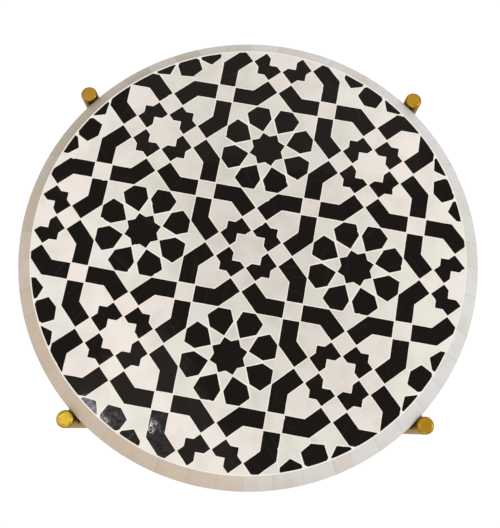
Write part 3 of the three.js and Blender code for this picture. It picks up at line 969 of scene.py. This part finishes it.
def rim_strips(section, seed):
    """A full row of strips, each the same section swept from one joint to the next."""
    hand = random.Random(seed)
    joints = strip_joints(seed)
    row = bmesh.new()
    half_joint = STRIP_JOINT / 2 / SEAT_RADIUS
    for start, end in zip(joints, joints[1:]):
        strip = bmesh.new()
        section_at(strip, section, start + half_joint)
        bmesh.ops.spin(
            strip, geom=everything(strip), cent=(0, 0, 0), axis=(0, 0, 1),
            angle=end - start - 2 * half_joint, steps=STRIP_STEPS, use_duplicate=False,
        )
        bmesh.ops.recalc_face_normals(strip, faces=strip.faces)
        soften(strip, corners_of(strip), STRIP_EDGE)
        mark_faces(strip, tint=hand.random(), bearing=(start + end) / 2)
        put_in(row, strip)
    return row


# %% Rim bone finish
# Painted light and shade by bearing: cool on the right, olive shade at the back left, warm light at
# the front left.
RIM_COOL_LIGHT = paint(220, 217, 213)
RIM_OLIVE_SHADE = paint(183, 172, 157)
RIM_WARM_LIGHT = paint(211, 194, 173)
RIM_PINK = paint(214, 198, 190)
RIM_SHADE = paint(190, 175, 155)
OLIVE_SHADE_BEARING = math.radians(143)
WARM_LIGHT_BEARING = math.radians(222)


def rim_finish():
    """Each strip has its own tone, and painted light and shade by bearing make its neighbours on one
    side of the seat alike.
    """
    finish = new_finish("rim_bone")
    bearing = finish.mark("bearing")
    tint = finish.mark("tint")
    # Painted light and shade by bearing, on top of each strip's own tint.
    olive, warm = (
        finish.maths("COSINE", bearing - toward) + tint * 0.3
        for toward in (OLIVE_SHADE_BEARING, WARM_LIGHT_BEARING)
    )
    colour = finish.blend(olive.above(0.75, 1.1), RIM_COOL_LIGHT, RIM_OLIVE_SHADE)
    colour = finish.blend(warm.above(0.35, 1.15), colour, RIM_WARM_LIGHT)
    colour = finish.blend(tint.above(0.70, 0.95) * 0.4, colour, RIM_PINK)
    shifted_place = finish.moved(finish.place(), tint * 9)
    cloud = finish.cloud(48, detail=3.0, place=shifted_place)
    specks = finish.cloud(700, place=shifted_place)
    shade = cloud.above(0.45, 0.75) * 0.3 + specks.above(0.66, 0.80) * 0.15
    return finish.surface({
        "Base Color": finish.blend(shade, colour, RIM_SHADE),
        "Roughness": 0.30 + cloud * 0.15,
        "Specular IOR Level": 0.3,
        "Normal": finish.bump(cloud + specks * 0.04, 0.5 * MM),
    })


# %% The two rows of strips
BEVEL_SEED = 3
SIDE_SEED = 4
rim_bone = rim_finish()
bevel_foot = bevel_height(STRIP_INNER) - BEVEL_DEPTH
bevel_section = [
    (BEVEL_TOP_RADIUS, SEAT_TOP - BEVEL_DEPTH),
    (STRIP_INNER, bevel_foot),
    (SEAT_RADIUS, SEAT_TOP - BEVEL_DROP),
    (BEVEL_TOP_RADIUS, SEAT_TOP),
]
side_section = [
    (STRIP_INNER, SEAT_BOTTOM),
    (SEAT_RADIUS, SEAT_BOTTOM),
    (SEAT_RADIUS, SEAT_TOP - BEVEL_DROP - STRIP_JOINT),
    (STRIP_INNER, bevel_foot - STRIP_JOINT),
]
add_piece("bevel_strips", rim_strips(bevel_section, BEVEL_SEED), rim_bone, "rim_bone", *RIM_NODES)
add_piece("side_strips", rim_strips(side_section, SIDE_SEED), rim_bone, "rim_bone", *SIDE_NODES)

# %% [markdown]
# ## Resin
# Resin fills every joint, between the tiles and between the strips. It could be hundreds
# of thin threads, but a single shell does the same: it lies a hair below all the polished
# faces, so that it shows only where a joint is open. It is nearly white in the field. In
# the joints of the rim, where hands hold the stool, it has gone brown.

# %% Resin shell
RESIN_SINK = 0.08 * MM
JOINT_SINK = 0.15 * MM
SHELL_STEPS = 200
RESIN_CREAM = paint(247, 242, 233)
RESIN_SHADE = paint(231, 222, 206)
RESIN_SOILED = paint(186, 174, 155)


def resin_finish():
    finish = new_finish("cream_resin")
    cloud = finish.cloud(60, detail=3.0)
    grime = finish.cloud(260)
    shade = cloud.above(0.45, 0.75) * 0.4 + grime.above(0.6, 0.8) * 0.25
    field = finish.blend(shade, RESIN_CREAM, RESIN_SHADE)
    soiled = finish.from_axis().above(BEVEL_TOP_RADIUS, BEVEL_TOP_RADIUS + JOINT_SINK)
    return finish.surface({
        "Base Color": finish.blend(soiled, field, RESIN_SOILED),
        "Roughness": 0.34 + grime * 0.1,
        "Specular IOR Level": 0.35,
        "Normal": finish.bump(grime, 0.4 * MM),
    })


core_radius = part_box("seat_core")[1].x
bed_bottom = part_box("horn_tiles")[0].z
shell_outer = SEAT_RADIUS - JOINT_SINK
shell_shoulder = bevel_height(shell_outer) - JOINT_SINK
shell_section = [
    (0, bed_bottom),
    (BEVEL_TOP_RADIUS, bed_bottom),
    (core_radius, SEAT_TOP - BEVEL_DROP - BEVEL_DEPTH / 2),
    (core_radius, SEAT_BOTTOM + JOINT_SINK),
    (shell_outer, SEAT_BOTTOM + JOINT_SINK),
    (shell_outer, shell_shoulder),
    (BEVEL_TOP_RADIUS, SEAT_TOP - RESIN_SINK),
    (0, SEAT_TOP - RESIN_SINK),
]
add_piece("cream_resin", full_turn(shell_section, SHELL_STEPS), resin_finish(), "bone")

# %% [markdown]
# ## Brass
# The legs and rings are satin brass under a thin lacquer. Clean brass would mirror the room, and
# this doesn't: fine drawn lines along the tube and a slow, cloudy tarnish spread the highlight. Just
# under the legs' tops a grey-brown is painted on, painted shade and painted reflection under the
# seat, darkest on the side that faces the seat. The front left leg is painted brighter and yellower,
# a painted highlight, which is a number on its faces. A dark olive line is painted in the rounded
# top edge of the legs, a painted reflection, strongest on the front left leg.

# %% Brass finish
# Painted highlight: the brighter, yellower brass of the front left leg.
BRASS_GLARE = paint(178, 150, 51)
BRASS_YELLOW = paint(158, 119, 32)
# The brown of real tarnish, also used for the painted shade and reflection under the legs' tops.
BRASS_BROWN = paint(158, 146, 122)
# Painted dark reflection in the rounded top edge of the legs.
BRASS_OLIVE = paint(98, 74, 20)
# Painted shade on the side of the legs that faces the seat.
SHADOW_BROWN = paint(80, 46, 20)
BRASS_GRAZING = (0.72, 0.58, 0.40, 1)
LEG_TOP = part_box("leg_back_right")[1].z
LEG_MIDDLE = sum((corner.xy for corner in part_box("leg_back_right")), Vector((0, 0))) / 2
LEG_AXIS = LEG_MIDDLE.length
DRAWN_LINES_PER_METRE = (700, 700, 22)

# Each pair says where a mask is 0 and where it is 1: below the leg's top, from the
# leg's axis, or from the stool's axis.
# Painted shade and reflection under the legs' tops: full from 4 to 16 mm below the top, gone at 1.8
# mm and at 90 mm, and only near a leg.
SHADE_FADES_DOWN = (90 * MM, 16 * MM)
SHADE_STARTS = (1.8 * MM, 4 * MM)
SHADE_SPREAD = (45 * MM, 14 * MM)
INNER_SIDE = (LEG_AXIS + 1 * MM, LEG_AXIS - 7 * MM)
# Where the painted dark edge line lies below the legs' tops.
EDGE_LINE_FOOT = (3 * MM, 2 * MM)
EDGE_LINE_HEAD = (0.9 * MM, 1.6 * MM)


def brass_finish():
    finish = new_finish("satin_brass")
    tarnish = finish.cloud(30, detail=4.0)
    lines = finish.cloud(detail=3.0, place=finish.place(DRAWN_LINES_PER_METRE))
    spots = finish.cloud(340)
    below_top = LEG_TOP - finish.along_axis("Z")
    # Painted shade and painted reflection just under the legs' tops, mixed with the real tarnish and
    # spots, darkest on the side that faces the seat.
    painted_shade_near_seat = below_top.above(*SHADE_FADES_DOWN) * below_top.above(*SHADE_STARTS)
    painted_shade_near_seat = painted_shade_near_seat * finish.from_leg(LEG_MIDDLE).above(*SHADE_SPREAD)
    inner_side = finish.from_axis().above(*INNER_SIDE)
    # A thin dark olive line in the rounded top edge, a painted reflection, strongest on the front
    # left leg.
    edge = below_top.above(*EDGE_LINE_FOOT) * below_top.above(*EDGE_LINE_HEAD)
    clean = finish.mark("clean")
    shade = tarnish.above(0.45, 0.80) * 0.2 + spots.above(0.58, 0.76) * 0.25 + painted_shade_near_seat * 0.8
    # The front left leg gets a painted highlight, mottled.
    colour = finish.blend(clean * (0.6 + spots.above(0.35, 0.60) * 0.6), BRASS_YELLOW, BRASS_GLARE)
    colour = finish.blend(shade, colour, BRASS_BROWN)
    colour = finish.blend(painted_shade_near_seat * inner_side * (0.8 + tarnish * 0.4), colour, SHADOW_BROWN)
    return finish.surface({
        "Base Color": finish.blend(edge * (0.15 + clean * 0.65), colour, BRASS_OLIVE),
        "Metallic": 1.0,
        "Specular Tint": BRASS_GRAZING,
        "Roughness": 0.27 + tarnish * 0.12 + lines * 0.06,
        "Normal": finish.bump(lines * 0.5 + tarnish * 0.5, 0.3 * MM),
    })


brass = brass_finish()

# %% [markdown]
# ## Legs and glides
# Each leg is a tube with a closed, softly rounded top. A cylinder would have a hard rim,
# so the section is drawn with an arc at the edge and spun. The foot is open and holds a
# black nylon glide, whose collar shows under the tube.

# %% Legs
LEG_EDGE = 3 * MM
LEG_WALL = 1.5 * MM
LEG_CAP = 3 * MM
FOOT_EDGE = 0.4 * MM
LEG_STEPS = 56
# The leg that gets the painted highlight in the brass finish.
GLARE_LEG = "front_left"


def leg_section(radius, bottom, top):
    bore = radius - LEG_WALL
    top_arc = rounded(radius - LEG_EDGE, top - LEG_EDGE, LEG_EDGE, 0, 90, steps=8)
    foot_arc = rounded(radius - FOOT_EDGE, bottom + FOOT_EDGE, FOOT_EDGE, -90, 0, steps=3)
    inside = [(0, top - LEG_CAP), (bore, top - LEG_CAP), (bore, bottom)]
    return inside + foot_arc + top_arc + [(0, top)]


leg_places = {}
for name in LEG_NAMES:
    low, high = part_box(f"leg_{name}")
    middle = (low + high) / 2
    leg_places[name] = middle.xy
    leg_radius = (high.x - low.x) / 2
    leg = full_turn(leg_section(leg_radius, low.z, high.z), LEG_STEPS)
    mark_faces(leg, clean=1.0 if name == GLARE_LEG else 0.0)
    add_piece(f"brass_leg_{name}", shifted(leg, *middle.xy), brass, "brass", f"leg_{name}")

# %% Glides
GLIDE_EDGE = 0.9 * MM
GLIDE_COLLAR = 4 * MM
NYLON_BLACK = paint(44, 43, 42)
NYLON_SCUFF = paint(96, 92, 88)


def nylon_finish():
    finish = new_finish("black_nylon")
    scuffs = finish.cloud(500, detail=4.0)
    return finish.surface({
        "Base Color": finish.blend(scuffs.above(0.5, 0.8) * 0.5, NYLON_BLACK, NYLON_SCUFF),
        "Roughness": 0.45 + scuffs * 0.3,
        "Normal": finish.bump(scuffs, 0.3 * MM),
    })


nylon = nylon_finish()
for name in LEG_NAMES:
    low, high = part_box(f"foot_glide_{name}")
    spigot = leg_radius - LEG_WALL - JOINT_SINK
    glide_section = [
        (0, low.z),
        *rounded(leg_radius - GLIDE_EDGE, low.z + GLIDE_EDGE, GLIDE_EDGE, -90, 0),
        (leg_radius, low.z + GLIDE_COLLAR),
        (spigot, low.z + GLIDE_COLLAR),
        (spigot, high.z),
        (0, high.z),
    ]
    glide = shifted(full_turn(glide_section, LEG_STEPS), *leg_places[name])
    add_piece(f"nylon_glide_{name}", glide, nylon, "nylon", f"foot_glide_{name}")

# %% [markdown]
# ## Hoop and ring
# A flat hoop is screwed under the seat and a round bar ties the legs near the floor.
# Both widen into a gusset at each leg, hollowed to the tube. The parts are made apart
# and joined with a boolean, because that is how they are brazed, and it leaves the
# sharp inner corner that such a joint has.

# %% Plates, cutters and booleans
GUSSET_TIP_SETBACK = 1 * MM
GUSSET_TIP_HALF = 7.5 * MM
GUSSET_ROOT_HALF = 16 * MM
BRAZE_GAP = 0.3 * MM
PLATE_EDGE = 0.5 * MM
RING_STEPS = 180


def as_object(name, shape):
    bmesh.ops.recalc_face_normals(shape, faces=shape.faces)
    return in_scene(name, as_mesh(name, shape))


def combine(shape, operation, others):
    """Joins or cuts a solid with other solids and gives the result back as a bmesh."""
    base = as_object("base", shape)
    tools = [as_object("tool", other) for other in others]
    for tool in tools:
        step = base.modifiers.new("combine", "BOOLEAN")
        step.object = tool
        step.operation = operation
        step.solver = "EXACT"
    result = bmesh.new()
    result.from_object(base, bpy.context.evaluated_depsgraph_get())
    for used in [base, *tools]:
        old = used.data
        bpy.data.objects.remove(used)
        bpy.data.meshes.remove(old)
    return result


def gusset(place, root_radius, bottom, top):
    """A plate that reaches from a ring out to one leg."""
    tip = LEG_AXIS - GUSSET_TIP_SETBACK
    outline = [
        (root_radius, -GUSSET_ROOT_HALF),
        (tip, -GUSSET_TIP_HALF),
        (tip, GUSSET_TIP_HALF),
        (root_radius, GUSSET_ROOT_HALF),
    ]
    plate = flat_plate(turned(outline, math.atan2(place.y, place.x)), bottom)
    risen(plate, top - bottom)
    soften(plate, corners_of(plate), PLATE_EDGE)
    return plate


def leg_hollow(place, bottom, top):
    radius = leg_radius + BRAZE_GAP
    section = [(0, bottom), (radius, bottom), (radius, top), (0, top)]
    return shifted(full_turn(section, LEG_STEPS), *place)


def with_gussets(ring, root_radius, bottom, top):
    plates = [gusset(place, root_radius, bottom, top) for place in leg_places.values()]
    reach = top - bottom
    hollows = [leg_hollow(place, bottom - reach, top + reach) for place in leg_places.values()]
    return combine(combine(ring, "UNION", plates), "DIFFERENCE", hollows)


# %% [markdown]
# The screws are countersunk: a cone under a flat head. The same section, a hair wider,
# drills their holes in the hoop, so that the heads sit flush in it. The head has a
# cross-shaped recess, cut with two crossed bars that narrow to a point.

# %% Screws
SCREW_COUNT = 8
HEAD_RADIUS = 4 * MM
HEAD_HEIGHT = 2.2 * MM
HEAD_EDGE = 0.15 * MM
SHANK_RADIUS = 2 * MM
POINT_LENGTH = 4 * MM
CROSS_LENGTH = 4.6 * MM
CROSS_WIDTH = 0.9 * MM
CROSS_DEPTH = 1.5 * MM
CROSS_TAPER = (0.3, 0.6, 1)
THREAD_PITCH = 1.6 * MM
THREAD_DEPTH = 0.35 * MM
SCREW_STEPS = 32

screw_places = {}
for i in range(1, SCREW_COUNT + 1):
    low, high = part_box(f"seat_screw_{i}")
    screw_places[i] = ((low + high) / 2).xy
screw_bottom, screw_top = low.z, high.z


def screw_section(extra, foot):
    head = HEAD_RADIUS + extra
    shank = SHANK_RADIUS + extra
    neck = screw_bottom + HEAD_HEIGHT
    section = [(0, foot), (head, foot), (head, screw_bottom + HEAD_EDGE), (shank, neck)]
    height = neck + THREAD_PITCH
    while extra == 0 and height < screw_top - POINT_LENGTH:
        section += [(shank, height), (shank - THREAD_DEPTH, height + THREAD_PITCH / 2)]
        height += THREAD_PITCH
    return section + [(shank, screw_top - POINT_LENGTH), (0, screw_top)]


def cross_recess():
    bars = []
    for angle in (0, math.pi / 2):
        bar = bmesh.new()
        bmesh.ops.create_cube(bar, size=1)
        bmesh.ops.scale(bar, verts=bar.verts, vec=(CROSS_LENGTH, CROSS_WIDTH, 2 * CROSS_DEPTH))
        deep = [vert for vert in bar.verts if vert.co.z > 0]
        bmesh.ops.scale(bar, verts=deep, vec=CROSS_TAPER)
        bmesh.ops.rotate(bar, verts=bar.verts, matrix=Matrix.Rotation(angle, 3, "Z"))
        bmesh.ops.translate(bar, verts=bar.verts, vec=(0, 0, screw_bottom))
        bars.append(bar)
    return bars


# %% Zinc finish and the screws
STEEL_BRIGHT = paint(186, 186, 182)
STEEL_DULL = paint(158, 155, 146)


def steel_finish():
    finish = new_finish("zinc_steel")
    haze = finish.cloud(800, detail=3.0)
    return finish.surface({
        "Base Color": finish.blend(haze.above(0.4, 0.7), STEEL_BRIGHT, STEEL_DULL),
        "Metallic": 1.0,
        "Roughness": 0.3 + haze * 0.2,
        "Normal": finish.bump(haze, 0.1 * MM),
    })


steel = steel_finish()
for i, place in screw_places.items():
    screw = full_turn(screw_section(0, screw_bottom), SCREW_STEPS)
    screw = combine(screw, "DIFFERENCE", cross_recess())
    add_piece(f"steel_screw_{i}", shifted(screw, *place), steel, "steel", f"seat_screw_{i}")

# %% Hoop under the seat
HOOP_INSET = 6 * MM
HOOP_WIDTH = 24 * MM
hoop_low, hoop_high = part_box("seat_hoop")
hoop_outer = SEAT_RADIUS - HOOP_INSET
hoop_inner = hoop_outer - HOOP_WIDTH
hoop_middle = (hoop_outer + hoop_inner) / 2

inner, outer = hoop_inner + PLATE_EDGE, hoop_outer - PLATE_EDGE
lower, upper = hoop_low.z + PLATE_EDGE, hoop_high.z - PLATE_EDGE
hoop_corners = ((180, inner, lower), (270, outer, lower), (0, outer, upper), (90, inner, upper))
hoop_section = []
for start, radius, height in hoop_corners:
    hoop_section += rounded(radius, height, PLATE_EDGE, start, start + 90, steps=2)
hoop = full_turn(hoop_section, RING_STEPS)
hoop = with_gussets(hoop, hoop_middle, hoop_low.z, hoop_high.z)
drill = screw_section(BRAZE_GAP / 2, screw_bottom - HEAD_HEIGHT)
drills = [shifted(full_turn(drill, SCREW_STEPS), *place) for place in screw_places.values()]
add_piece("brass_hoop", combine(hoop, "DIFFERENCE", drills), brass, "brass", "seat_hoop")

# %% Ring near the floor
RING_BAR = 5 * MM
RING_BAR_STEPS = 24
GUSSET_HALF_THICKNESS = 3 * MM
ring_low, ring_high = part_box("lower_ring")
ring_height = (ring_low.z + ring_high.z) / 2
ring_radius = LEG_AXIS - leg_radius - BRAZE_GAP - RING_BAR - HAIR
bar_section = rounded(ring_radius, ring_height, RING_BAR, 0, 360, steps=RING_BAR_STEPS)[:-1]
ring = full_turn(bar_section, RING_STEPS)
lower, upper = ring_height - GUSSET_HALF_THICKNESS, ring_height + GUSSET_HALF_THICKNESS
ring = with_gussets(ring, ring_radius, lower, upper)
add_piece("brass_lower_ring", ring, brass, "brass", "lower_ring")

# %% [markdown]
# ## Wood
# Only the underside of the seat shows its wood. The frame's own solid has the right
# shape there, with its screw holes, so it stays and only gets a finish: boards side by
# side, each with its own tone and its own long grain.

# %% Wooden core
BOARD_WIDTH = 72 * MM
BOARD_JOINT_SHARE = 0.012
WOOD_LIGHT = paint(196, 158, 112)
WOOD_DARK = paint(142, 101, 62)
WOOD_JOINT = paint(70, 46, 28)
GRAIN_STRETCH = (2.2, 26, 10)
PORES_PER_METRE = (60, 1500, 200)


def wood_finish():
    finish = new_finish("oiled_wood")
    across = finish.along_axis("Y") * (1 / BOARD_WIDTH)
    board = finish.maths("FLOOR", across)
    in_board = finish.maths("FRACT", across)
    tone = finish.node("ShaderNodeTexWhiteNoise", {"noise_dimensions": "1D"}, {"W": board})
    shifted_place = finish.moved(finish.place(GRAIN_STRETCH), tone * 12)
    grain = finish.cloud(1.6, detail=6.0, place=shifted_place)
    pores = finish.cloud(place=finish.place(PORES_PER_METRE))
    dark = grain.above(0.35, 0.72) * 0.6 + tone * 0.3 + pores.above(0.6, 0.75) * 0.2
    joint = in_board.above(BOARD_JOINT_SHARE, 0.0) + in_board.above(1 - BOARD_JOINT_SHARE, 1.0)
    colour = finish.blend(dark, WOOD_LIGHT, WOOD_DARK)
    return finish.surface({
        "Base Color": finish.blend(joint * 0.7, colour, WOOD_JOINT),
        "Roughness": 0.55 + grain * 0.2,
        "Normal": finish.bump(grain * 0.4 + pores * 0.2 - joint * 0.5, 0.5 * MM),
    })


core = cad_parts["seat_core"]
core.data.materials.clear()
core.data.materials.append(wood_finish())
print("seat_core keeps its own solid")
